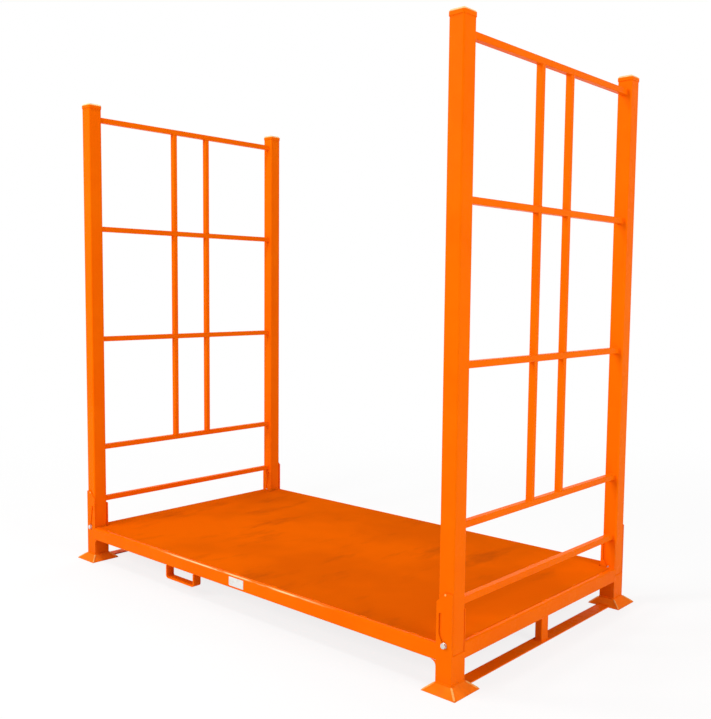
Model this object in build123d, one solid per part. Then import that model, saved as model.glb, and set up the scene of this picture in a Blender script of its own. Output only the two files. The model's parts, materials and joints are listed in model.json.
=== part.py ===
from build123d import *
import os

# Folding, stacking rack for tyres. Millimetres, +Z up, origin on the floor under the middle of the rack.
# X runs along the long side, the front is at -Y. Pieces are made at the +X +Y corner and mirrored.

# Overall sizes, over the feet and up to the top of the caps
LENGTH = 2300.0
WIDTH = 1360.0
HEIGHT = 2250.0

# Uprights of the end frames
UPRIGHT_X = 60.0
UPRIGHT_Y = 70.0
UPRIGHT_WALL = 3.0
UPRIGHT_CORNER = 6.0

# Rungs and bars of the end frames
RUNG_SIZE = 25.0
RUNG_WALL = 2.0
RUNG_CORNER = 3.0
RUNG_PITCH = 544.5
LOW_RUNG_PITCH = 264.0
TOP_RUNG_DROP = 69.0
BAR_SPACING = 217.0

# Caps, pressed over the tops of the uprights
CAP_HEIGHT = 21.0
CAP_WALL = 3.0
CAP_ROOF = 6.0
CAP_CORNER = 10.5
CAP_CROWN = 10.0
CAP_FIT = 0.1

# Flared feet
FOOT_FLARE = 40.0
FOOT_HEIGHT = 30.0
FOOT_PLATE = 7.0

# Corner posts: two slotted cheeks and a bent channel whose top is the upright's seat
CHEEK_THICKNESS = 4.0
CHEEK_GAP = 0.5
CHEEK_BEHIND_UPRIGHT = 5.0
OUTER_CHEEK_ABOVE_FOLD = 79.0
OUTER_CHEEK_CHAMFER = 36.0
CHEEK_CORNER = 6.0
CHEEK_ABOVE_SLOT = 8.75
CHEEK_BELOW_RUNG = 4.0
SOCKET_THICKNESS = 5.0
SOCKET_BEND = 8.0
SEAT_GAP = 1.0

# Pivots, and how the frames lie when folded
PIVOT_SHIFT = 18.0
FOLD_GAP = 3.0
BOLT_RADIUS = 6.0
BOLT_HEAD_ACROSS = 18.0
BOLT_HEAD_HEIGHT = 7.5
BOLT_HEAD_CHAMFER = 1.2
BOLT_TIP_BACK = 1.0
SLEEVE_RADIUS = 9.0
SLEEVE_FIT = 0.1
BOLT_FIT = 0.05
SLOT_FIT = 0.75
WASHER_RADIUS = 10.5
WASHER_THICKNESS = 2.5
WASHER_FIT = 0.5
WASHER_GAP = 0.3

# Base
BEAM_BOTTOM = 103.0
BEAM_HEIGHT = 60.0
BEAM_DEPTH = 40.0
BEAM_WALL = 3.0
BEAM_CORNER = 7.0
GUSSET_RADIUS = 20.0
DECK_THICKNESS = 2.0
DECK_INSET = 18.0
DECK_CLEARANCE = 6.0
CROSS_MEMBERS = 3
CROSS_MEMBER_SIZE = 40.0
CROSS_MEMBER_WALL = 2.5
CROSS_MEMBER_CORNER = 4.0
RAIL_WIDTH = 50.0
RAIL_THICKNESS = 5.0
RAIL_ABOVE_FLOOR = 1.0
RAIL_INSET = 5.0
STUB_X = 30.0
STUB_Y = 50.0
STUB_WALL = 3.0
STUB_CORNER = 4.0
STUB_INSET = 12.0
STIRRUP_WIDTH = 200.0
STIRRUP_BOTTOM = 45.0
STIRRUP_STRAP = 7.0
STIRRUP_CORNER = 14.0
STIRRUP_X = -361.0
LABEL_LENGTH = 90.0
LABEL_HEIGHT = 38.0
LABEL_THICKNESS = 1.0
LABEL_CORNER = 3.0
LABEL_X = 22.0

# Places worked out from the sizes above
OUTER_X = LENGTH / 2 - FOOT_FLARE
OUTER_Y = WIDTH / 2 - FOOT_FLARE
UPRIGHT_MID_X = OUTER_X - UPRIGHT_X / 2
UPRIGHT_MID_Y = OUTER_Y - UPRIGHT_Y / 2
INNER_Y = OUTER_Y - UPRIGHT_Y
POST_INNER_X = OUTER_X - UPRIGHT_X - CHEEK_BEHIND_UPRIGHT
POST_MID_X = (OUTER_X + POST_INNER_X) / 2
POST_X = OUTER_X - POST_INNER_X
SOCKET_Y = UPRIGHT_Y + 2 * CHEEK_GAP
POST_Y = SOCKET_Y + 2 * CHEEK_THICKNESS
OUTER_CHEEK_Y = UPRIGHT_MID_Y + (SOCKET_Y + CHEEK_THICKNESS) / 2
INNER_CHEEK_Y = UPRIGHT_MID_Y - (SOCKET_Y + CHEEK_THICKNESS) / 2
POST_OUTER_Y = UPRIGHT_MID_Y + POST_Y / 2
POST_INNER_Y = UPRIGHT_MID_Y - POST_Y / 2
BEAM_TOP = BEAM_BOTTOM + BEAM_HEIGHT
BEAM_MID_Z = BEAM_BOTTOM + BEAM_HEIGHT / 2
DECK_TOP = BEAM_TOP + DECK_THICKNESS
PIVOT_Z = DECK_TOP
UPRIGHT_BOTTOM = PIVOT_Z - UPRIGHT_X / 2
UPRIGHT_TOP = HEIGHT - CAP_ROOF
SEAT_Z = UPRIGHT_BOTTOM - SEAT_GAP
RAIL_TOP = RAIL_ABOVE_FLOOR + RAIL_THICKNESS
LOWER_FOLD_Z = DECK_TOP + FOLD_GAP + UPRIGHT_X / 2 + CAP_WALL
UPPER_FOLD_Z = LOWER_FOLD_Z + UPRIGHT_X + CAP_WALL + FOLD_GAP
SLOT_RADIUS = BOLT_RADIUS + SLOT_FIT
INNER_CHEEK_TOP = UPPER_FOLD_Z + SLOT_RADIUS + CHEEK_ABOVE_SLOT
OUTER_CHEEK_TOP = UPPER_FOLD_Z + OUTER_CHEEK_ABOVE_FOLD
LOWEST_RUNG_Z = INNER_CHEEK_TOP + CHEEK_BELOW_RUNG + RUNG_SIZE / 2
SLOT_SEAT = (UPRIGHT_MID_X, PIVOT_Z)
SLOT_KINK = (UPRIGHT_MID_X - PIVOT_SHIFT, LOWER_FOLD_Z)
SLOT_TOP = (UPRIGHT_MID_X - PIVOT_SHIFT, UPPER_FOLD_Z)

SIDES_X = {"right": 1, "left": -1}
SIDES_Y = {"front": -1, "rear": 1}


def rung_heights():
    """Centre heights of the five rungs, from the lowest up."""
    evenly_spaced = [LOWEST_RUNG_Z + LOW_RUNG_PITCH + step * RUNG_PITCH for step in range(3)]
    return [LOWEST_RUNG_Z] + evenly_spaced + [HEIGHT - TOP_RUNG_DROP]


def save(node, *shapes):
    """Write one node as its separate solids."""
    solids = [solid for shape in shapes for solid in shape.solids()]
    export_step(Compound(label=node, children=solids), os.path.join("parts", node + ".step"))


def to_side(shape, side_x=1, side_y=1):
    """Mirror a shape made on the +X +Y side to another side."""
    if side_x < 0:
        shape = mirror(shape, Plane.YZ)
    if side_y < 0:
        shape = mirror(shape, Plane.XZ)
    return shape


def tube_section(width, height, wall, corner):
    """Section of a rectangular tube with rounded corners."""
    hollow = RectangleRounded(width - 2 * wall, height - 2 * wall, max(corner - wall, 0.5))
    return RectangleRounded(width, height, corner) - hollow


def tube_along_x(length, depth, height, wall, corner):
    return extrude(Plane.YZ * tube_section(depth, height, wall, corner), length / 2, both=True)


def tube_along_y(length, depth, height, wall, corner):
    return extrude(Plane.XZ * tube_section(depth, height, wall, corner), length / 2, both=True)


def tube_along_z(bottom, top, size_x, size_y, wall, corner):
    return Pos(0, 0, bottom) * extrude(tube_section(size_x, size_y, wall, corner), top - bottom)


def plate_in_xz(outline, thickness, middle_y):
    """Plate standing in the XZ plane, its outline drawn with x across and z up."""
    return Pos(0, middle_y, 0) * extrude(Plane.XZ * outline, thickness / 2, both=True)


def rod_along_y(radius, low_y, high_y):
    return Pos(0, high_y, 0) * extrude(Plane.XZ * Circle(radius), high_y - low_y)


# Corner posts

def slot_round(*centres):
    """Area that a bolt's slot needs to hold all of the given bolt centres."""
    circles = [Pos(*centre) * Circle(SLOT_RADIUS) for centre in centres]
    return make_hull([circle.edge() for circle in circles])


def bolt_slot(lower_fold):
    """Kinked slot where the frame folds at the kink, three-cornered slot where it folds at the top."""
    if lower_fold:
        return slot_round(SLOT_SEAT, SLOT_KINK) + slot_round(SLOT_KINK, SLOT_TOP)
    return slot_round(SLOT_SEAT, SLOT_KINK, SLOT_TOP)


def cheek_outline(top):
    height = top - FOOT_HEIGHT
    return Pos(POST_MID_X, FOOT_HEIGHT + height / 2) * Rectangle(POST_X, height)


def outer_cheek(lower_fold):
    outline = cheek_outline(OUTER_CHEEK_TOP)
    corners = outline.vertices().group_by(Axis.Y)[-1].sort_by(Axis.X)
    outline = chamfer(corners[0], OUTER_CHEEK_CHAMFER)
    outer_corner = outline.vertices().group_by(Axis.Y)[-1].sort_by(Axis.X)[-1]
    outline = fillet(outer_corner, CHEEK_CORNER)
    return plate_in_xz(outline - bolt_slot(lower_fold), CHEEK_THICKNESS, OUTER_CHEEK_Y)


def inner_cheek(lower_fold):
    outline = cheek_outline(INNER_CHEEK_TOP)
    outline = fillet(outline.vertices().group_by(Axis.Y)[-1], CHEEK_CORNER)
    return plate_in_xz(outline - bolt_slot(lower_fold), CHEEK_THICKNESS, INNER_CHEEK_Y)


def socket_channel():
    """Bent plate between the cheeks: two legs down to the foot and the seat across their tops."""
    height = SEAT_Z - FOOT_HEIGHT
    outline = Pos(POST_MID_X, FOOT_HEIGHT + height / 2) * Rectangle(POST_X, height)
    outline = fillet(outline.vertices().group_by(Axis.Y)[-1], SOCKET_BEND)
    hollow_height = height - SOCKET_THICKNESS
    hollow = Pos(POST_MID_X, FOOT_HEIGHT + hollow_height / 2) * Rectangle(
        POST_X - 2 * SOCKET_THICKNESS, hollow_height)
    hollow = fillet(hollow.vertices().group_by(Axis.Y)[-1], SOCKET_BEND - SOCKET_THICKNESS)
    return plate_in_xz(outline - hollow, SOCKET_Y, UPRIGHT_MID_Y)


# Feet

def ring(low_x, high_x, low_y, high_y, z):
    """The four corners of a level rectangle, in order round it."""
    return [(low_x, low_y, z), (high_x, low_y, z), (high_x, high_y, z), (low_x, high_y, z)]


def foot_rings(inset):
    """Bottom and top corners of the foot's skirt, moved in by inset."""
    half_x = UPRIGHT_X / 2 + FOOT_FLARE - inset
    half_y = UPRIGHT_Y / 2 + FOOT_FLARE - inset
    bottom = ring(UPRIGHT_MID_X - half_x, UPRIGHT_MID_X + half_x,
                  UPRIGHT_MID_Y - half_y, UPRIGHT_MID_Y + half_y, 0)
    top = ring(POST_INNER_X + inset, OUTER_X - inset,
               POST_INNER_Y + inset, POST_OUTER_Y - inset, FOOT_HEIGHT)
    return bottom, top


def face_through(*corners):
    return Face(Wire.make_polygon(corners, close=True))


def foot_envelope():
    bottom, top = foot_rings(0)
    return loft([face_through(*bottom), face_through(*top)], ruled=True)


def foot_skirt():
    """Four sloping plates that meet at mitred corners."""
    outer_bottom, outer_top = foot_rings(0)
    inner_bottom, inner_top = foot_rings(FOOT_PLATE)
    plates = []
    for here in range(4):
        after = (here + 1) % 4
        bottom = face_through(outer_bottom[here], outer_bottom[after], inner_bottom[after], inner_bottom[here])
        top = face_through(outer_top[here], outer_top[after], inner_top[after], inner_top[here])
        plates.append(loft([bottom, top], ruled=True))
    return plates


# Base frame

def long_beam():
    beam = tube_along_x(2 * POST_INNER_X, BEAM_DEPTH, BEAM_HEIGHT, BEAM_WALL, BEAM_CORNER)
    return Pos(0, POST_OUTER_Y - BEAM_DEPTH / 2, BEAM_MID_Z) * beam


def end_beam():
    beam = tube_along_y(2 * POST_INNER_Y, BEAM_DEPTH, BEAM_HEIGHT, BEAM_WALL, BEAM_CORNER)
    return Pos(OUTER_X - BEAM_DEPTH / 2, 0, BEAM_MID_Z) * beam


def deck_sheets():
    """Wide middle sheet on top of the beams, and a strip at each end between the two posts."""
    middle_x = POST_INNER_X - DECK_CLEARANCE
    end_x = OUTER_X - DECK_INSET
    middle = extrude(Rectangle(2 * middle_x, 2 * (POST_OUTER_Y - DECK_INSET)), DECK_THICKNESS)
    strip = extrude(Rectangle(end_x - middle_x, 2 * (POST_INNER_Y - DECK_CLEARANCE)), DECK_THICKNESS)
    right_strip = Pos((middle_x + end_x) / 2, 0, BEAM_TOP) * strip
    left_strip = Pos(-(middle_x + end_x) / 2, 0, BEAM_TOP) * strip
    return [Pos(0, 0, BEAM_TOP) * middle, right_strip, left_strip]


def cross_member(number):
    """Square tube between the long beams, evenly spaced along the deck and tight under its sheet."""
    spacing = 2 * POST_INNER_X / (CROSS_MEMBERS + 1)
    length = 2 * (POST_OUTER_Y - BEAM_DEPTH)
    member = tube_along_y(length, CROSS_MEMBER_SIZE, CROSS_MEMBER_SIZE, CROSS_MEMBER_WALL, CROSS_MEMBER_CORNER)
    return Pos(number * spacing - POST_INNER_X, 0, BEAM_TOP - CROSS_MEMBER_SIZE / 2) * member


def corner_gusset():
    """Small plate with a hollow curve where a long beam meets a post."""
    corner = Pos(POST_INNER_X - GUSSET_RADIUS / 2, BEAM_BOTTOM - GUSSET_RADIUS / 2)
    curve = Pos(POST_INNER_X - GUSSET_RADIUS, BEAM_BOTTOM - GUSSET_RADIUS) * Circle(GUSSET_RADIUS)
    outline = corner * Rectangle(GUSSET_RADIUS, GUSSET_RADIUS) - curve
    return plate_in_xz(outline, CHEEK_THICKNESS, OUTER_CHEEK_Y)


def ground_rail():
    """Flat bar between the two feet of one end."""
    bar = Box(RAIL_WIDTH, 2 * UPRIGHT_MID_Y, RAIL_THICKNESS)
    bar = Pos(OUTER_X - RAIL_INSET - RAIL_WIDTH / 2, 0, RAIL_TOP - RAIL_THICKNESS / 2) * bar
    return bar - foot_envelope() - to_side(foot_envelope(), side_y=-1)


def centre_stub():
    stub = tube_along_z(RAIL_TOP, BEAM_BOTTOM, STUB_X, STUB_Y, STUB_WALL, STUB_CORNER)
    return Pos(OUTER_X - STUB_INSET - STUB_X / 2, 0, 0) * stub


def stirrup():
    """Flat bar bent into a U under a long beam."""
    height = BEAM_BOTTOM - STIRRUP_BOTTOM
    outline = Pos(STIRRUP_X, STIRRUP_BOTTOM + height / 2) * Rectangle(STIRRUP_WIDTH, height)
    outline = fillet(outline.vertices().group_by(Axis.Y)[0], STIRRUP_CORNER)
    loop_height = height - STIRRUP_STRAP
    loop = Pos(STIRRUP_X, BEAM_BOTTOM - loop_height / 2) * Rectangle(
        STIRRUP_WIDTH - 2 * STIRRUP_STRAP, loop_height)
    loop = fillet(loop.vertices().group_by(Axis.Y)[0], STIRRUP_CORNER - STIRRUP_STRAP)
    return plate_in_xz(outline - loop, BEAM_DEPTH, POST_OUTER_Y - BEAM_DEPTH / 2)


def label_plate():
    """Blank plate on the middle of the front beam."""
    outline = Pos(LABEL_X, BEAM_MID_Z) * RectangleRounded(LABEL_LENGTH, LABEL_HEIGHT, LABEL_CORNER)
    return plate_in_xz(outline, LABEL_THICKNESS, -POST_OUTER_Y - LABEL_THICKNESS / 2)


# End frames

def upright():
    tube = tube_along_z(UPRIGHT_BOTTOM, UPRIGHT_TOP, UPRIGHT_X, UPRIGHT_Y, UPRIGHT_WALL, UPRIGHT_CORNER)
    hole = rod_along_y(SLEEVE_RADIUS + SLEEVE_FIT, -UPRIGHT_Y, UPRIGHT_Y)
    return Pos(UPRIGHT_MID_X, UPRIGHT_MID_Y, 0) * (tube - Pos(0, 0, PIVOT_Z) * hole)


def pivot_sleeve():
    bore = rod_along_y(BOLT_RADIUS + BOLT_FIT, INNER_Y, OUTER_Y)
    sleeve = rod_along_y(SLEEVE_RADIUS, INNER_Y, OUTER_Y) - bore
    return Pos(UPRIGHT_MID_X, 0, PIVOT_Z) * sleeve


def cap():
    """Pressed cap with a rounded crown, over the upright's end."""
    outline = RectangleRounded(UPRIGHT_X + 2 * CAP_WALL, UPRIGHT_Y + 2 * CAP_WALL, CAP_CORNER)
    shell = extrude(outline, CAP_HEIGHT)
    shell = fillet(shell.edges().group_by(Axis.Z)[-1], CAP_CROWN)
    seat = RectangleRounded(UPRIGHT_X + 2 * CAP_FIT, UPRIGHT_Y + 2 * CAP_FIT, UPRIGHT_CORNER)
    shell = shell - extrude(seat, CAP_HEIGHT - CAP_ROOF)
    return Pos(UPRIGHT_MID_X, UPRIGHT_MID_Y, HEIGHT - CAP_HEIGHT) * shell


def rung(height):
    tube = tube_along_y(2 * INNER_Y, RUNG_SIZE, RUNG_SIZE, RUNG_WALL, RUNG_CORNER)
    return Pos(UPRIGHT_MID_X, 0, height) * tube


def vertical_bar():
    """Three lengths of tube in one line, from the second rung to the top rung."""
    heights = rung_heights()[1:]
    lengths = []
    for below, above in zip(heights, heights[1:]):
        tube = tube_along_z(below + RUNG_SIZE / 2, above - RUNG_SIZE / 2,
                            RUNG_SIZE, RUNG_SIZE, RUNG_WALL, RUNG_CORNER)
        lengths.append(Pos(UPRIGHT_MID_X, BAR_SPACING / 2, 0) * tube)
    return lengths


# Pivots

def pivot_bolt():
    """Hex bolt from outside the outer cheek, through the sleeve, to the inner cheek."""
    under_head = POST_OUTER_Y + WASHER_GAP + WASHER_THICKNESS
    head_radius = BOLT_HEAD_ACROSS / 3 ** 0.5
    hexagon = Pos(0, under_head + BOLT_HEAD_HEIGHT, 0) * extrude(
        Plane.XZ * RegularPolygon(head_radius, 6), BOLT_HEAD_HEIGHT)
    blank = rod_along_y(head_radius, under_head, under_head + BOLT_HEAD_HEIGHT)
    blank = chamfer(blank.edges().group_by(Axis.Y)[-1], BOLT_HEAD_CHAMFER)
    shank = rod_along_y(BOLT_RADIUS, POST_INNER_Y + BOLT_TIP_BACK, under_head)
    return Pos(UPRIGHT_MID_X, 0, PIVOT_Z) * ((hexagon & blank) + shank)


def pivot_washer():
    low = POST_OUTER_Y + WASHER_GAP
    high = low + WASHER_THICKNESS
    washer = rod_along_y(WASHER_RADIUS, low, high) - rod_along_y(BOLT_RADIUS + WASHER_FIT, low, high)
    return Pos(UPRIGHT_MID_X, 0, PIVOT_Z) * washer


def both_ends_in_y(shape):
    return [to_side(shape, side_y=side_y) for side_y in SIDES_Y.values()]


def write_base():
    for name_y, side_y in SIDES_Y.items():
        save(name_y + "_beam", to_side(long_beam(), side_y=side_y))
        save(name_y + "_stirrup", to_side(stirrup(), side_y=side_y))
    for name_x, side_x in SIDES_X.items():
        save(name_x + "_end_beam", to_side(end_beam(), side_x))
        save(name_x + "_ground_rail", to_side(ground_rail(), side_x))
        save(name_x + "_centre_stub", to_side(centre_stub(), side_x))
    save("deck_sheet", *deck_sheets())
    for number in range(1, CROSS_MEMBERS + 1):
        save("deck_cross_member_%d" % number, cross_member(number))
    save("label_plate", label_plate())
    gussets = [to_side(corner_gusset(), side_x, side_y)
               for side_x in SIDES_X.values() for side_y in SIDES_Y.values()]
    save("corner_gussets", *gussets)


def write_corner_posts():
    for name_x, side_x in SIDES_X.items():
        lower_fold = name_x == "right"
        for name_y, side_y in SIDES_Y.items():
            corner = name_y + "_" + name_x
            save("outer_cheek_" + corner, to_side(outer_cheek(lower_fold), side_x, side_y))
            save("inner_cheek_" + corner, to_side(inner_cheek(lower_fold), side_x, side_y))
            save("socket_channel_" + corner, to_side(socket_channel(), side_x, side_y))
            save("foot_" + corner, *[to_side(plate, side_x, side_y) for plate in foot_skirt()])


def write_end_frames():
    for name_x, side_x in SIDES_X.items():
        for name_y, side_y in SIDES_Y.items():
            corner = name_y + "_" + name_x
            save("upright_" + corner, to_side(upright(), side_x, side_y))
            save("cap_" + corner, to_side(cap(), side_x, side_y))
            save("vertical_bar_" + corner, *[to_side(tube, side_x, side_y) for tube in vertical_bar()])
        for number, height in enumerate(rung_heights(), start=1):
            save("%s_rung_%d" % (name_x, number), to_side(rung(height), side_x))
        save(name_x + "_pivot_sleeves", *both_ends_in_y(to_side(pivot_sleeve(), side_x)))
        save(name_x + "_pivot_bolts", *both_ends_in_y(to_side(pivot_bolt(), side_x)))
        save(name_x + "_pivot_washers", *both_ends_in_y(to_side(pivot_washer(), side_x)))


os.makedirs("parts", exist_ok=True)
write_base()
write_corner_posts()
write_end_frames()
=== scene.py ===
import json
import math

import bmesh
import bpy
from mathutils import Matrix, Vector, noise


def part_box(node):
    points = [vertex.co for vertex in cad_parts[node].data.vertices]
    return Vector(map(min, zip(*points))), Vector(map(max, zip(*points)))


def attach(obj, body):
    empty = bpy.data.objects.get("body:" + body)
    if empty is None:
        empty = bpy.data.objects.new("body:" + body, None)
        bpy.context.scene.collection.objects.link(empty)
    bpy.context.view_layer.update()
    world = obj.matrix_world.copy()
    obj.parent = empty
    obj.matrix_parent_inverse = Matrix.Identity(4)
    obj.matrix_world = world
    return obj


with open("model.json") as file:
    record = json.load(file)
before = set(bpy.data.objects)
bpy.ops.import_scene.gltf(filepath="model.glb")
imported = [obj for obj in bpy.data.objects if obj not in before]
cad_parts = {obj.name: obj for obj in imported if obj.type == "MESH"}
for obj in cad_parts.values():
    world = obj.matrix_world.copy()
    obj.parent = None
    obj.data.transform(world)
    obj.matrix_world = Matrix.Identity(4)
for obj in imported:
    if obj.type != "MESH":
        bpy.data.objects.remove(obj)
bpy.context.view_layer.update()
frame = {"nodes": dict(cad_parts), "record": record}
scene = bpy.context.scene

# Metres throughout, in the CAD's own frame: X along the rack, the front at -Y, Z up from the floor.
RIGHT, LEFT = "right", "left"
FRONT, REAR = "front", "rear"
SIDES_X = {RIGHT: 1, LEFT: -1}
SIDES_Y = {REAR: 1, FRONT: -1}
X, Y, Z = Vector((1, 0, 0)), Vector((0, 1, 0)), Vector((0, 0, 1))


# Camera, at the photograph's angle

CAMERA_PLACE = (2.7736938, -3.0556495, 1.3474832)
CAMERA_HEADING = 43.77756
CAMERA_PITCH = -4.78153
CAMERA_ROLL = 0.31464
SENSOR_WIDTH = 36.0
LENS = 44.69157
SHIFT_X = 0.0585661
SHIFT_Y = 0.0099569
FARTHEST_SEEN = 200


def add_camera():
    heading, pitch, roll = (math.radians(angle) for angle in (CAMERA_HEADING, CAMERA_PITCH, CAMERA_ROLL))
    level_part = math.cos(pitch)
    ahead = Vector((-math.sin(heading) * level_part, math.cos(heading) * level_part, math.sin(pitch)))
    level = ahead.cross(Z).normalized()
    upward = level.cross(ahead)
    across = level * math.cos(roll) + upward * math.sin(roll)
    upward = upward * math.cos(roll) - level * math.sin(roll)
    data = bpy.data.cameras.new("camera")
    data.sensor_fit = "AUTO"
    data.sensor_width = SENSOR_WIDTH
    data.lens = LENS
    data.shift_x = SHIFT_X
    data.shift_y = SHIFT_Y
    data.clip_end = FARTHEST_SEEN
    camera = bpy.data.objects.new("camera", data)
    scene.collection.objects.link(camera)
    turn = Matrix((across, upward, -ahead)).transposed().to_4x4()
    camera.matrix_world = Matrix.Translation(CAMERA_PLACE) @ turn
    scene.camera = camera


# Materials. Colours are linear; where there are two, a slow noise drifts from one to the other.

ORANGE = ((0.95, 0.140, 0.0004, 1), (0.97, 0.162, 0.0008, 1))
# Paler orange for the feet: painted light on their skirts
ORANGE_FOOT_LIT = ((0.99, 0.178, 0.0040, 1), (1.00, 0.205, 0.0100, 1))
# Darker orange for the deck: painted shade
ORANGE_DECK_SHADED = ((0.80, 0.122, 0.0006, 1), (0.67, 0.100, 0.0008, 1))
ORANGE_FLECK = (0.80, 0.105, 0.002, 1)
# Lighter orange on edges: thin paint, and a painted highlight along them
ORANGE_THIN_AND_LIT = (1.0, 0.235, 0.018, 1)
# Pale painted highlights: on weld beads and studs, round cap crowns, on the long beams' top corners
BEAD_HIGHLIGHT = (1.0, 0.50, 0.14, 1)
CAP_HIGHLIGHT = (1.0, 0.72, 0.34, 1)
BEAM_HIGHLIGHT = (1.0, 0.68, 0.32, 1)
# Dark orange patches on the deck: painted shade
TYRE_SHADE_SMEAR = (0.40, 0.062, 0.003, 1)
FLOOR_DIRT = (0.52, 0.115, 0.018, 1)
ZINC = ((0.62, 0.66, 0.70, 1), (0.74, 0.70, 0.60, 1))
ZINC_DULL = (0.40, 0.40, 0.39, 1)
LABEL = (0.76, 0.765, 0.74, 1)
LABEL_STAIN = (0.60, 0.57, 0.51, 1)
WHITE = (1, 1, 1, 1)

# How strongly the painted highlights, flecks, thin paint with its painted highlight, dirt and the deck's
# patches of painted shade colour the paint, and how much rougher dirt makes it
HIGHLIGHT_SHARE = 0.9
FLECK_SHARE = 0.25
THIN_PAINT_AND_HIGHLIGHT_SHARE = 0.45
DIRT_SHARE = 0.30
DIRT_ROUGHNESS = 0.25
SHADE_SMEAR_SHARE = 0.55

# Gloss of the paint. The deck is rubbed matt, and its sheet is a little wavy.
PAINT_SHINE = 0.014
DECK_SHINE = 0.0
SHINE_TINT = (1.0, 0.45, 0.15, 1)
SMOOTHEST, ROUGHEST = 0.20, 0.31
DECK_DULLNESS = 0.25
DECK_WAVE = 0.004

# Radii that shading rounds edges by
PAINT_EDGE = 0.0012
THIN_PAINT_AND_HIGHLIGHT_EDGE = 0.0016
METAL_EDGE = 0.0006
BEVEL_SAMPLES = 6

# Dirt reaches this high, and the painted highlight on the long beams is full this far each way from the
# middle and gone this far
DIRT_HEIGHT = 0.10
BEAM_HIGHLIGHT_FADES = 0.28
BEAM_HIGHLIGHT_ENDS = 0.62


class Nodes:
    """One material, and short calls that build its node tree."""

    def __init__(self, name):
        self.material = bpy.data.materials.new(name)
        self.material.use_nodes = True
        self.tree = self.material.node_tree
        self.tree.nodes.clear()
        self.output = self.tree.nodes.new("ShaderNodeOutputMaterial")
        self.place = self.tree.nodes.new("ShaderNodeTexCoord").outputs["Object"]

    def feed(self, socket, value):
        """Link a value that varies, or set a constant on the socket itself."""
        if isinstance(value, bpy.types.NodeSocket):
            self.tree.links.new(value, socket)
        else:
            socket.default_value = value

    def add(self, kind, inputs=None, **settings):
        node = self.tree.nodes.new("ShaderNode" + kind)
        for key, value in settings.items():
            setattr(node, key, value)
        for key, value in (inputs or {}).items():
            self.feed(node.inputs[key], value)
        return node

    def noise(self, scale, detail=2.0, roughness=0.5, stretch=(1, 1, 1)):
        """Noise in the object's own space, with about scale patches to a metre."""
        place = self.add("Mapping", {"Vector": self.place, "Scale": stretch}).outputs["Vector"]
        inputs = {"Vector": place, "Scale": scale, "Detail": detail, "Roughness": roughness}
        return self.add("TexNoise", inputs).outputs["Fac"]

    def spread(self, value, low, high, to_low=0.0, to_high=1.0):
        """Value stretched from low..high to to_low..to_high, and held there outside it."""
        inputs = {"Value": value, "From Min": low, "From Max": high, "To Min": to_low, "To Max": to_high}
        return self.add("MapRange", inputs, interpolation_type="SMOOTHSTEP").outputs["Result"]

    def math(self, operation, *values):
        return self.add("Math", dict(enumerate(values)), operation=operation).outputs["Value"]

    def times(self, first, second):
        return self.math("MULTIPLY", first, second)

    def part(self, vector, axis):
        return self.add("SeparateXYZ", {"Vector": vector}).outputs[axis]

    def lean(self):
        """How far the surface leans back in its own object: 0 where it is upright, 1 where it faces up."""
        return self.part(self.add("TexCoord").outputs["Normal"], "Z")

    def blend(self, share, first, second):
        node = self.add("Mix", data_type="RGBA")
        factor, colour_a, colour_b, colour_out = 0, 6, 7, 2
        for key, value in ((factor, share), (colour_a, first), (colour_b, second)):
            self.feed(node.inputs[key], value)
        return node.outputs[colour_out]

    def rounded(self, radius):
        """Normal with the edges rounded by shading."""
        return self.add("Bevel", {"Radius": radius}, samples=BEVEL_SAMPLES).outputs["Normal"]

    def bump(self, height, normal, strength, distance):
        inputs = {"Height": height, "Strength": strength, "Distance": distance, "Normal": normal}
        return self.add("Bump", inputs).outputs["Normal"]

    def edges(self, radius):
        """Share of the way to an outer edge: 0 on a flat, 1 on the edge itself."""
        rounded = self.rounded(radius)
        flat = self.add("NewGeometry").outputs["Normal"]
        facing = self.add("VectorMath", {0: rounded, 1: flat}, operation="DOT_PRODUCT").outputs["Value"]
        return self.spread(facing, 0.995, 0.80)

    def finish(self, shader):
        self.tree.links.new(shader.outputs[0], self.output.inputs["Surface"])
        return self.material


def plain_paint(n):
    return n.blend(n.spread(n.noise(3.1, detail=4.0, roughness=0.6), 0.30, 0.70), *ORANGE)


def foot_paint_lit(n):
    """Paler paint for the feet: painted light on their sloping skirts."""
    return n.blend(n.spread(n.noise(14.0, detail=4.0, roughness=0.6), 0.30, 0.70), *ORANGE_FOOT_LIT)


def deck_paint_shaded(n):
    """Deck paint darker than the tubes, with soft darker patches: painted shade, as under a load of tyres."""
    colour = n.blend(n.spread(n.noise(1.7, detail=3.0, roughness=0.55), 0.35, 0.68), *ORANGE_DECK_SHADED)
    shade_smear = n.spread(n.noise(5.5, detail=5.0, roughness=0.62, stretch=(1, 0.35, 1)), 0.52, 0.74)
    return n.blend(n.times(shade_smear, SHADE_SMEAR_SHARE), colour, TYRE_SHADE_SMEAR)


def crown_highlight(n):
    """Share of pale painted highlight round the crown of a cap, between its upright sides and its level top.
    """
    lean = n.lean()
    patchy = n.spread(n.noise(55.0, detail=3.0, roughness=0.6), 0.25, 0.55, 0.70, 1.0)
    return n.times(n.times(n.spread(lean, 0.12, 0.40), n.spread(lean, 0.97, 0.80)), patchy)


def beam_highlight(n):
    """Share of pale painted highlight in streaks on a long beam's top corners, about its middle."""
    lean = n.lean()
    from_middle = n.math("ABSOLUTE", n.part(n.place, "X"))
    corner = n.times(n.spread(lean, 0.15, 0.45), n.spread(lean, 0.99, 0.85))
    streaks = n.spread(n.noise(90.0, detail=3.0, roughness=0.6, stretch=(0.06, 1, 1)), 0.38, 0.58)
    return n.times(n.times(corner, streaks), n.spread(from_middle, BEAM_HIGHLIGHT_ENDS, BEAM_HIGHLIGHT_FADES))


def bead_highlight(n):
    """Share of pale painted highlight on a weld bead or a stud that stands proud."""
    return n.spread(n.noise(75.0, detail=3.0, roughness=0.6), 0.25, 0.60, 0.45, 1.0)


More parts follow.
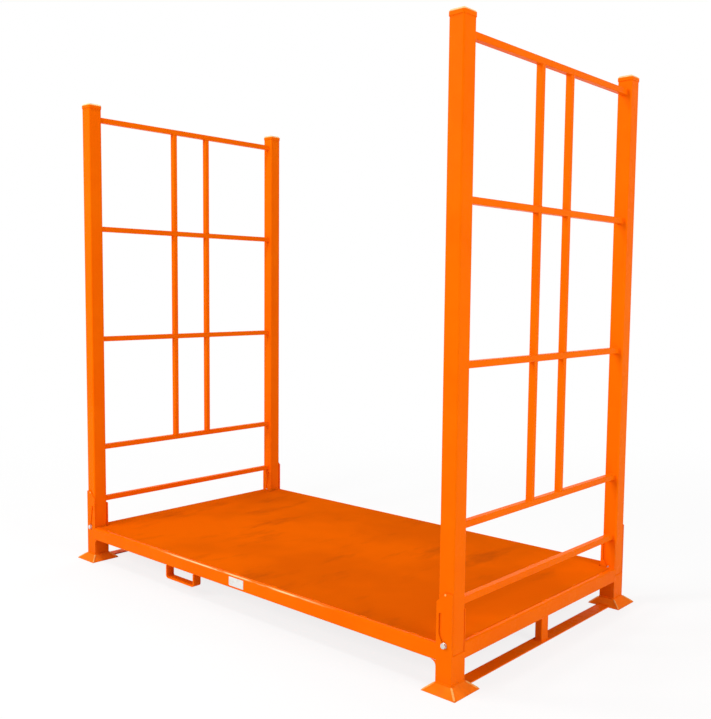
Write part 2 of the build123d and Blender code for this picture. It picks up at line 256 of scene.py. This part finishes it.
def powder_coat(name, base=plain_paint, highlight_mask=None, highlight_colour=None, wave=0.0, dullness=0.0, shine=PAINT_SHINE):
    """Powder coat: orange peel, slight change of shade, a pale painted highlight where a mask for one is
    given, edges made lighter by thin paint and a painted highlight, dirt low down.
    """
    n = Nodes(name)
    colour = base(n)
    # A given mask mixes in a pale painted highlight
    if highlight_mask:
        colour = n.blend(n.times(highlight_mask(n), HIGHLIGHT_SHARE), colour, highlight_colour)
    fleck = n.spread(n.noise(190.0, detail=3.0, roughness=0.7), 0.60, 0.80)
    colour = n.blend(n.times(fleck, FLECK_SHARE), colour, ORANGE_FLECK)
    # Edges go lighter: thin paint, and a painted highlight
    colour = n.blend(n.times(n.edges(THIN_PAINT_AND_HIGHLIGHT_EDGE), THIN_PAINT_AND_HIGHLIGHT_SHARE), colour, ORANGE_THIN_AND_LIT)
    near_floor = n.spread(n.part(n.place, "Z"), DIRT_HEIGHT, 0.0)
    dirt = n.times(near_floor, n.spread(n.noise(26.0, detail=5.0, roughness=0.65), 0.44, 0.72))
    colour = n.blend(n.times(dirt, DIRT_SHARE), colour, FLOOR_DIRT)
    handled = n.noise(11.0, detail=4.0, roughness=0.6)
    rough = n.spread(handled, 0.25, 0.75, SMOOTHEST + dullness, ROUGHEST + dullness)
    rough = n.math("ADD", rough, n.times(dirt, DIRT_ROUGHNESS))
    normal = n.rounded(PAINT_EDGE)
    if wave:
        normal = n.bump(n.noise(2.6), normal, strength=1.0, distance=wave)
    normal = n.bump(n.noise(420.0), normal, strength=0.18, distance=0.0004)
    inputs = {"Base Color": colour, "Roughness": rough, "Normal": normal,
              "Specular IOR Level": shine, "Specular Tint": SHINE_TINT}
    return n.finish(n.add("BsdfPrincipled", inputs))


def zinc():
    """Bright zinc plate: faint blue and straw tints, turned grain and small dull spots."""
    n = Nodes("zinc_plate")
    tint = n.spread(n.noise(95.0, detail=3.0, roughness=0.6), 0.35, 0.65)
    dull = n.spread(n.noise(420.0, detail=4.0, roughness=0.7), 0.55, 0.75)
    colour = n.blend(n.times(dull, 0.5), n.blend(tint, *ZINC), ZINC_DULL)
    rough = n.math("ADD", n.spread(tint, 0, 1, 0.24, 0.34), n.times(dull, 0.2))
    grain = n.noise(1500.0, stretch=(1, 0.1, 1))
    normal = n.bump(grain, n.rounded(METAL_EDGE), strength=0.25, distance=0.0001)
    inputs = {"Base Color": colour, "Roughness": rough, "Normal": normal, "Metallic": 1.0}
    return n.finish(n.add("BsdfPrincipled", inputs))


def label():
    """Blank off-white plate, a little stained."""
    n = Nodes("label_face")
    stain = n.spread(n.noise(34.0, detail=5.0, roughness=0.65), 0.45, 0.75)
    colour = n.blend(n.times(stain, 0.6), LABEL, LABEL_STAIN)
    rough = n.spread(n.noise(60.0, detail=3.0), 0.3, 0.7, 0.42, 0.58)
    normal = n.bump(n.noise(700.0), n.rounded(METAL_EDGE), strength=0.15, distance=0.0002)
    return n.finish(n.add("BsdfPrincipled", {"Base Color": colour, "Roughness": rough, "Normal": normal}))


def dress_nodes(paint):
    """Materials for the CAD's nodes: by the record's slot, and by name for painted highlights on caps and
    long beams, painted light on the feet, and painted shade on the wavy matt deck.
    """
    by_slot = {"powder_coat": paint, "zinc": zinc(), "label": label()}
    # Caps: a pale painted highlight round their crowns
    cap_highlight_paint = powder_coat("powder_coat_cap_highlight", highlight_mask=crown_highlight, highlight_colour=CAP_HIGHLIGHT)
    # Long beams: streaks of pale painted highlight on their top corners
    beam_highlight_paint = powder_coat("powder_coat_beam_highlight", highlight_mask=beam_highlight, highlight_colour=BEAM_HIGHLIGHT)
    # Feet: paler paint, painted light on their skirts
    feet_lit_paint = powder_coat("powder_coat_foot_lit", base=foot_paint_lit)
    # Deck sheet: darker paint with patches of painted shade, matt and a little wavy
    sheet_shaded_paint = powder_coat("powder_coat_sheet_shaded", base=deck_paint_shaded, wave=DECK_WAVE,
                              dullness=DECK_DULLNESS, shine=DECK_SHINE)
    by_name = {"cap_": cap_highlight_paint, "front_beam": beam_highlight_paint, "rear_beam": beam_highlight_paint,
               "foot_": feet_lit_paint, "deck_sheet": sheet_shaded_paint}
    slots = {part["node"]: part["material_slot"] for part in frame["record"]["subparts"]}
    for node, piece in frame["nodes"].items():
        material = by_slot[slots[node]]
        for start, own_paint in by_name.items():
            if node.startswith(start):
                material = own_paint
        for slot in piece.material_slots:
            slot.material = material


# Pieces

def add_piece(name, form, material, body):
    """Make a finished mesh into a smooth painted piece that rides on a body."""
    bmesh.ops.recalc_face_normals(form, faces=form.faces)
    for face in form.faces:
        face.smooth = True
    mesh = bpy.data.meshes.new(name)
    form.to_mesh(mesh)
    form.free()
    mesh.materials.append(material)
    piece = bpy.data.objects.new(name, mesh)
    scene.collection.objects.link(piece)
    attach(piece, body)


def middle_of(node):
    low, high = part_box(node)
    return (low + high) / 2


def inner(low, high):
    """Whichever of a box's two faces is nearer the rack's middle."""
    return min((low, high), key=abs)


def outer(low, high):
    return max((low, high), key=abs)


# Welds. A section is drawn for a leg of 1, as shares of the way out of the corner and of the way along
# the face. Its third point is the crest, and its last is inside the metal.

FILLET = ((1.0, -0.15), (0.92, 0.40), (0.72, 0.72), (0.40, 0.92), (-0.15, 1.0), (-0.3, -0.3))
SEAM = ((-0.15, -1.0), (0.28, -0.72), (0.45, 0.0), (0.28, 0.72), (-0.15, 1.0), (-0.5, 0.0))
RIDGE = ((-0.75, -0.95), (0.05, -0.70), (0.50, 0.0), (0.05, 0.70), (-0.75, 0.95), (-0.9, 0.0))
CREST = 2
LAST_OUTSIDE = 4

# Half the pitch of the ripples, and how they and the weld's own unevenness change its size
HALF_RIPPLE = 0.0021
RIPPLE_LAG = 0.55
RIPPLE_DEPTH = 0.085
UNEVENNESS = 0.10
UNEVENNESS_SCALE = 140
END_SIZE = 0.45
END_GROWTH = 0.28

# Legs of the beads
SMALL_LEG = 0.003
BAR_LEG = 0.0028
BAR_SEAM_LEG = 0.0026
CAP_LEG = 0.002
MITRE_LEG = 0.0044
FOOT_SEAM_LEG = 0.0036
BEAM_LEG = 0.0035
STITCH_LEG = 0.0024

# How far beads keep off the ends of the edges that they run along
BEAM_KEEP_OFF = 0.008
STRAP_KEEP_OFF = 0.006
MEMBER_KEEP_OFF_LOW = 0.004
MEMBER_KEEP_OFF = 0.003
MEMBER_KEEP_OFF_HIGH = 0.002
RUNG_KEEP_OFF = 0.002
THIN_KEEP_OFF = 0.001

# Radii of the tube corners that beads go round
RUNG_CORNER = 0.003
UPRIGHT_CORNER = 0.006
STUB_CORNER = 0.004

RUNGS = 5
CROSS_MEMBERS = 3
STIRRUP_STRAP = 0.007
MITRE_STARTS, MITRE_ENDS = 0.04, 0.90
STITCH_PITCH = 0.236
STITCH_LENGTH = 0.034
LONG_SIDE_STITCHES, SHORT_SIDE_STITCHES = 9, 5


class Welds:
    """One mesh of rippled weld beads that ride on one body."""

    def __init__(self, name, body):
        self.name = name
        self.body = body
        self.form = bmesh.new()

    def bead(self, stations, leg, section=FILLET, closed=False):
        """Bead past the stations, each a point in the corner and the two ways out of it along the faces."""
        rings = self.walk(stations, closed)
        last = len(rings) - 1
        drawn = []
        for count, (point, out, along, ahead) in enumerate(rings):
            ripple = RIPPLE_DEPTH if count % 2 else -RIPPLE_DEPTH
            size = leg * (1.0 + ripple + UNEVENNESS * noise.noise(point * UNEVENNESS_SCALE))
            if not closed:
                size *= min(1.0, END_SIZE + END_GROWTH * min(count, last - count))
            ring = []
            for step, (share_out, share_along) in enumerate(section):
                lag = 0.0
                if step <= LAST_OUTSIDE:
                    lag = RIPPLE_LAG * HALF_RIPPLE * (1 - abs(step - CREST) / CREST)
                surface = point + size * (share_out * out + share_along * along)
                ring.append(self.form.verts.new(surface + lag * ahead))
            drawn.append(ring)
        pairs = list(zip(drawn, drawn[1:]))
        if closed:
            pairs.append((drawn[-1], drawn[0]))
        else:
            self.form.faces.new(drawn[0])
            self.form.faces.new(reversed(drawn[-1]))
        for here, after in pairs:
            for step in range(len(section)):
                other = (step + 1) % len(section)
                self.form.faces.new((here[step], after[step], after[other], here[other]))

    def walk(self, stations, closed):
        """The stations, filled in to one for each half ripple."""
        ends = list(zip(stations, stations[1:] + (stations[:1] if closed else [])))
        rings = []
        for (point, out, along), (after, out_after, along_after) in ends:
            steps = max(1, round((after - point).length / HALF_RIPPLE))
            ahead = (after - point).normalized()
            for step in range(steps):
                share = step / steps
                rings.append((point.lerp(after, share), out.lerp(out_after, share),
                              along.lerp(along_after, share), ahead))
        if not closed:
            point, out, along = stations[-1]
            rings.append((point, out, along, rings[-1][3]))
        return rings

    def line(self, start, end, out, along, leg, section=FILLET):
        self.bead([(start, out, along), (end, out, along)], leg, section)

    def across(self, middle, reach, out, along, leg, section=FILLET):
        """Straight bead that reaches as far each way from its middle."""
        self.line(middle - reach, middle + reach, out, along, leg, section)

    def loop(self, middle, half_a, half_b, corner, along, leg):
        """Bead right round a rounded rectangular tube, given by two half sides, where it stands on a face."""
        way_a, way_b = half_a.normalized(), half_b.normalized()
        stations = []
        for a, b, turn in ((1, 1, 0), (-1, 1, 90), (-1, -1, 180), (1, -1, 270)):
            centre = middle + a * (half_a - corner * way_a) + b * (half_b - corner * way_b)
            for angle in (0, 45, 90):
                way = math.radians(turn + angle)
                out = math.cos(way) * way_a + math.sin(way) * way_b
                stations.append((centre + corner * out, out, along))
        self.bead(stations, leg, closed=True)

    def finish(self, material):
        add_piece(self.name, self.form, material, self.body)


def weld_lowest_rung(welds, middle, half, along):
    """Beads on the lowest rung's end, on all but its under side, which is close over the cheek."""
    for way in (X, -X, Z):
        reach = (Z if way != Z else X) * (half - RUNG_KEEP_OFF)
        welds.across(middle + half * way, reach, way, along, SMALL_LEG)


def weld_bar_end(welds, joint, half, along):
    """Fillets on the two sides of a bar's end, and seams where its faces are flush with the rung's."""
    for way in (Y, -Y):
        welds.across(joint + half * way, X * (half - RUNG_KEEP_OFF), way, along, BAR_LEG)
    for way in (X, -X):
        welds.across(joint + half * way, Y * (half - THIN_KEEP_OFF), way, along, BAR_SEAM_LEG, SEAM)


def weld_end_frame(end, material):
    """Rungs to uprights, bars to rungs and caps to uprights of one end frame."""
    welds = Welds(end + "_frame_welds", end + "_frame")
    rungs = [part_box("%s_rung_%d" % (end, number)) for number in range(1, RUNGS + 1)]
    half = (rungs[0][1].x - rungs[0][0].x) / 2
    for low, high in rungs:
        for sign_y in SIDES_Y.values():
            rung_end = Vector(((low.x + high.x) / 2, sign_y * high.y, (low.z + high.z) / 2))
            if low is rungs[0][0]:
                weld_lowest_rung(welds, rung_end, half, -sign_y * Y)
            else:
                welds.loop(rung_end, half * X, half * Z, RUNG_CORNER, -sign_y * Y, SMALL_LEG)
    for side in SIDES_Y:
        bar = middle_of("vertical_bar_%s_%s" % (side, end))
        for below, above in zip(rungs[1:], rungs[2:]):
            weld_bar_end(welds, Vector((bar.x, bar.y, below[1].z)), half, Z)
            weld_bar_end(welds, Vector((bar.x, bar.y, above[0].z)), half, -Z)
        low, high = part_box("upright_%s_%s" % (side, end))
        rim = (low + high) / 2
        rim.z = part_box("cap_%s_%s" % (side, end))[0].z
        welds.loop(rim, (high.x - low.x) / 2 * X, (high.y - low.y) / 2 * Y, UPRIGHT_CORNER, -Z, CAP_LEG)
    welds.finish(material)


def corners_of(low, high, height):
    """The four corners of a level rectangle, in order round it."""
    return [Vector((x, y, height)) for x, y in
            ((low.x, low.y), (high.x, low.y), (high.x, high.y), (low.x, high.y))]


def square_to(vector, line):
    """The part of a vector that is square to a line, as a way of length 1."""
    return (vector - vector.dot(line) * line).normalized()


def weld_feet(material, highlight_paint):
    """Mitred corners of the four feet, with a pale painted highlight, and the seam round the top of each."""
    welds = Welds("foot_welds", "base")
    mitres = Welds("foot_mitre_welds", "base")
    for end in SIDES_X:
        for side in SIDES_Y:
            low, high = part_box("foot_%s_%s" % (side, end))
            outer_low, outer_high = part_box("outer_cheek_%s_%s" % (side, end))
            inner_low, inner_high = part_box("inner_cheek_%s_%s" % (side, end))
            post_low = Vector((outer_low.x, min(outer_low.y, inner_low.y), 0))
            post_high = Vector((outer_high.x, max(outer_high.y, inner_high.y), 0))
            middle = (post_low + post_high) / 2
            tops = corners_of(post_low, post_high, high.z)
            bottoms = corners_of(low, high, low.z)
            for here in range(4):
                top, bottom = tops[here], bottoms[here]
                after = tops[(here + 1) % 4]
                ridge = (bottom - top).normalized()
                outward = Vector((top.x - middle.x, top.y - middle.y, 0)).normalized()
                outward = square_to(outward, ridge)
                mitres.line(top.lerp(bottom, MITRE_STARTS), top.lerp(bottom, MITRE_ENDS),
                            outward, ridge.cross(outward), MITRE_LEG, RIDGE)
                edge = (after - top).normalized()
                welds.line(top + THIN_KEEP_OFF * edge, after - THIN_KEEP_OFF * edge,
                           square_to(ridge, edge), Z, FOOT_SEAM_LEG)
    welds.finish(material)
    mitres.finish(highlight_paint)


def weld_long_beam(welds, side):
    """One long beam to the posts, and the cross members and the stirrup to it."""
    sign_y = SIDES_Y[side]
    low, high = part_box(side + "_beam")
    inner_y = inner(low.y, high.y)
    inward = -sign_y * Y
    for sign_x in SIDES_X.values():
        end_x = sign_x * high.x
        for height, up in ((high.z, Z), (low.z, -Z)):
            welds.line(Vector((end_x, low.y + BEAM_KEEP_OFF, height)),
                       Vector((end_x, high.y - BEAM_KEEP_OFF, height)), up, -sign_x * X, BEAM_LEG)
        welds.line(Vector((end_x, inner_y, low.z + BEAM_KEEP_OFF)),
                   Vector((end_x, inner_y, high.z - BEAM_KEEP_OFF)), inward, -sign_x * X, BEAM_LEG)
    for number in range(1, CROSS_MEMBERS + 1):
        member_low, member_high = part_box("deck_cross_member_%d" % number)
        for face, way in ((member_low.x, -X), (member_high.x, X)):
            welds.line(Vector((face, inner_y, member_low.z + MEMBER_KEEP_OFF_LOW)),
                       Vector((face, inner_y, member_high.z - MEMBER_KEEP_OFF_HIGH)), way, inward, SMALL_LEG)
        welds.line(Vector((member_low.x + MEMBER_KEEP_OFF, inner_y, member_low.z)),
                   Vector((member_high.x - MEMBER_KEEP_OFF, inner_y, member_low.z)), -Z, inward, SMALL_LEG)
    strap_low, strap_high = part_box(side + "_stirrup")
    for face, way in ((strap_low.x, -X), (strap_low.x + STIRRUP_STRAP, X),
                      (strap_high.x - STIRRUP_STRAP, -X), (strap_high.x, X)):
        welds.line(Vector((face, strap_low.y + STRAP_KEEP_OFF, low.z)),
                   Vector((face, strap_high.y - STRAP_KEEP_OFF, low.z)), way, -Z, SMALL_LEG)


def weld_rail_end(welds, end, side, along):
    """One end of a ground rail to the sloping skirt of its foot."""
    rail_low, rail_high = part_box(end + "_ground_rail")
    foot_low, foot_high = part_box("foot_%s_%s" % (side, end))
    cheek_low, cheek_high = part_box("inner_cheek_%s_%s" % (side, end))
    toe = inner(foot_low.y, foot_high.y)
    top = inner(cheek_low.y, cheek_high.y)
    rise = Vector((0, top - toe, foot_high.z)).normalized()
    meet = toe + rise.y / rise.z * rail_high.z
    welds.line(Vector((rail_low.x + THIN_KEEP_OFF, meet, rail_high.z)),
               Vector((rail_high.x - THIN_KEEP_OFF, meet, rail_high.z)), rise, along, SMALL_LEG)


def weld_base_end(welds, end):
    """One end beam to the posts, the rail to its feet and the stub between them."""
    sign_x = SIDES_X[end]
    low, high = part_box(end + "_end_beam")
    inner_x = inner(low.x, high.x)
    for side, sign_y in SIDES_Y.items():
        end_y = sign_y * high.y
        inward = -sign_y * Y
        for height, up in ((high.z, Z), (low.z, -Z)):
            welds.line(Vector((low.x + BEAM_KEEP_OFF, end_y, height)),
                       Vector((high.x - BEAM_KEEP_OFF, end_y, height)), up, inward, BEAM_LEG)
        welds.line(Vector((inner_x, end_y, low.z + BEAM_KEEP_OFF)),
                   Vector((inner_x, end_y, high.z - BEAM_KEEP_OFF)), -sign_x * X, inward, BEAM_LEG)
        weld_rail_end(welds, end, side, inward)
    stub_low, stub_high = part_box(end + "_centre_stub")
    stub = (stub_low + stub_high) / 2
    half_x = (stub_high.x - stub_low.x) / 2 * X
    half_y = (stub_high.y - stub_low.y) / 2 * Y
    welds.loop(Vector((stub.x, stub.y, stub_low.z)), half_x, half_y, STUB_CORNER, Z, SMALL_LEG)
    welds.loop(Vector((stub.x, stub.y, stub_high.z)), half_x, half_y, STUB_CORNER, -Z, BEAM_LEG)


def weld_base(material):
    welds = Welds("base_welds", "base")
    for side in SIDES_Y:
        weld_long_beam(welds, side)
    for end in SIDES_X:
        weld_base_end(welds, end)
    welds.finish(material)


def stitch_deck(material):
    """Short beads that hold the deck's edges down on the beams."""
    welds = Welds("deck_stitches", "base")
    low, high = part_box("deck_sheet")
    for sides, edge, out, run, stitches in (
            (SIDES_Y, high.y, Y, X, LONG_SIDE_STITCHES), (SIDES_X, high.x, X, Y, SHORT_SIDE_STITCHES)):
        for sign in sides.values():
            for count in range(stitches):
                from_middle = (count - stitches // 2) * STITCH_PITCH
                middle = sign * edge * out + from_middle * run + low.z * Z
                welds.across(middle, STITCH_LENGTH / 2 * run, sign * out, Z, STITCH_LEG)
    welds.finish(material)


# Studs

STUD_RADIUS = 0.0038
STUD_RISE = 0.0026
STUD_SIDES = 20
STUD_FROM_OUTER_EDGE = 0.029
STUD_BELOW_TOP = 0.007

# Dome of a stud, as shares of its radius and rise, from inside the cheek to near the crown
STUD_DOME = ((1.0, -0.2), (1.0, 0.25), (0.93, 0.55), (0.72, 0.85), (0.40, 0.98))


def draw_stud(form, middle, outward):
    rings = []
    for width, height in STUD_DOME:
        ring = []
        for step in range(STUD_SIDES):
            turn = 2 * math.pi * step / STUD_SIDES
            across = X * math.cos(turn) + Z * math.sin(turn)
            ring.append(form.verts.new(middle + STUD_RADIUS * width * across + STUD_RISE * height * outward))
        rings.append(ring)
    for here, after in zip(rings, rings[1:]):
        for step in range(STUD_SIDES):
            other = (step + 1) % STUD_SIDES
            form.faces.new((here[step], here[other], after[other], after[step]))
    form.faces.new(rings[0])
    form.faces.new(rings[-1])


def set_studs(material):
    """Small domed stud near the top of each outer cheek, in paint with a pale painted highlight."""
    form = bmesh.new()
    for end, sign_x in SIDES_X.items():
        for side, sign_y in SIDES_Y.items():
            low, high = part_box("outer_cheek_%s_%s" % (side, end))
            place_x = outer(low.x, high.x) - sign_x * STUD_FROM_OUTER_EDGE
            middle = Vector((place_x, outer(low.y, high.y), high.z - STUD_BELOW_TOP))
            draw_stud(form, middle, sign_y * Y)
    add_piece("cheek_studs", form, material, "base")


# Stage

FLOOR_RADIUS = 40
FLOOR_SIDES = 96
FLOOR_DROP = 0.0005
SHADOW_FULL_TO, SHADOW_GONE_AT = 1.5, 5.5
SHADOW_SHARE = 0.18
WORLD_STRENGTH = 0.36


def stage_floor():
    """Pale floor that the camera sees as white, with the rack's soft shadow kept near it."""
    mesh = bpy.data.meshes.new("floor")
    form = bmesh.new()
    bmesh.ops.create_circle(form, cap_ends=True, segments=FLOOR_SIDES, radius=FLOOR_RADIUS)
    form.to_mesh(mesh)
    form.free()
    floor = bpy.data.objects.new("floor", mesh)
    floor.location.z = -FLOOR_DROP
    scene.collection.objects.link(floor)
    n = Nodes("floor_paper")
    grain = n.spread(n.noise(140.0, detail=3.0, roughness=0.6), 0.3, 0.7, 0.88, 0.92)
    colour = n.add("CombineColor", {"Red": grain, "Green": grain, "Blue": grain}).outputs["Color"]
    paper = n.add("BsdfDiffuse", {"Color": colour}).outputs[0]
    away = n.add("VectorMath", {0: n.place}, operation="LENGTH").outputs["Value"]
    near = n.spread(away, SHADOW_GONE_AT, SHADOW_FULL_TO, 0.0, SHADOW_SHARE)
    glow = n.add("Emission", {"Color": WHITE, "Strength": 1.0}).outputs[0]
    seen = n.add("MixShader", {0: near, 1: glow, 2: paper}).outputs[0]
    rays = n.add("LightPath").outputs
    direct = n.math("MAXIMUM", rays["Is Camera Ray"], rays["Is Glossy Ray"])
    direct = n.math("MAXIMUM", direct, rays["Is Transmission Ray"])
    mesh.materials.append(n.finish(n.add("MixShader", {0: direct, 1: paper, 2: seen})))


def light_world():
    """White to the camera, in gloss and through glass, and dimmer as a light on the rack."""
    world = bpy.data.worlds.new("studio")
    scene.world = world
    world.use_nodes = True
    tree = world.node_tree
    tree.nodes.clear()
    rays = tree.nodes.new("ShaderNodeLightPath").outputs
    seen = rays["Is Camera Ray"]
    for other in ("Is Glossy Ray", "Is Transmission Ray"):
        either = tree.nodes.new("ShaderNodeMath")
        either.operation = "MAXIMUM"
        tree.links.new(seen, either.inputs[0])
        tree.links.new(rays[other], either.inputs[1])
        seen = either.outputs[0]
    strength = tree.nodes.new("ShaderNodeMapRange")
    strength.inputs["To Min"].default_value = WORLD_STRENGTH
    strength.inputs["To Max"].default_value = 1.0
    tree.links.new(seen, strength.inputs["Value"])
    sky = tree.nodes.new("ShaderNodeBackground")
    sky.inputs["Color"].default_value = WHITE
    tree.links.new(strength.outputs["Result"], sky.inputs["Strength"])
    output = tree.nodes.new("ShaderNodeOutputWorld")
    tree.links.new(sky.outputs[0], output.inputs["Surface"])


def softbox(name, place, aim, size, power, mirrored=True):
    """Soft rectangular lamp in watts. Gloss doesn't show it unless it is mirrored."""
    data = bpy.data.lights.new(name, "AREA")
    data.shape = "RECTANGLE"
    data.size, data.size_y = size
    data.energy = power
    lamp = bpy.data.objects.new(name, data)
    scene.collection.objects.link(lamp)
    lamp.location = place
    lamp.rotation_euler = (Vector(aim) - Vector(place)).to_track_quat("-Z", "Y").to_euler()
    lamp.visible_camera = False
    lamp.visible_glossy = mirrored


def light_studio():
    light_world()
    rack_middle = (0, 0, 1.0)
    softbox("key_front", (-1.6, -5.4, 3.4), rack_middle, size=(3.2, 2.4), power=195)
    softbox("fill_right", (5.8, -0.4, 3.2), rack_middle, size=(2.6, 2.6), power=141)
    softbox("overhead", (-0.4, -1.5, 4.9), (0.2, -0.3, 0), size=(0.6, 0.6), power=52)
    softbox("fill_rear", (-2.6, 5.6, 3.2), rack_middle, size=(3.2, 2.4), power=120, mirrored=False)
    softbox("fill_left", (-5.6, 1.0, 2.8), rack_middle, size=(2.6, 2.4), power=60, mirrored=False)


add_camera()
tube_paint = powder_coat("powder_coat_tube")
# Paint with a pale painted highlight, for the feet's mitre beads and the studs
bead_highlight_paint = powder_coat("powder_coat_bead_highlight", highlight_mask=bead_highlight, highlight_colour=BEAD_HIGHLIGHT)
dress_nodes(tube_paint)
for end_name in SIDES_X:
    weld_end_frame(end_name, tube_paint)
weld_feet(tube_paint, bead_highlight_paint)
weld_base(tube_paint)
stitch_deck(tube_paint)
set_studs(bead_highlight_paint)
stage_floor()
light_studio()
scene.view_settings.view_transform = "Standard"
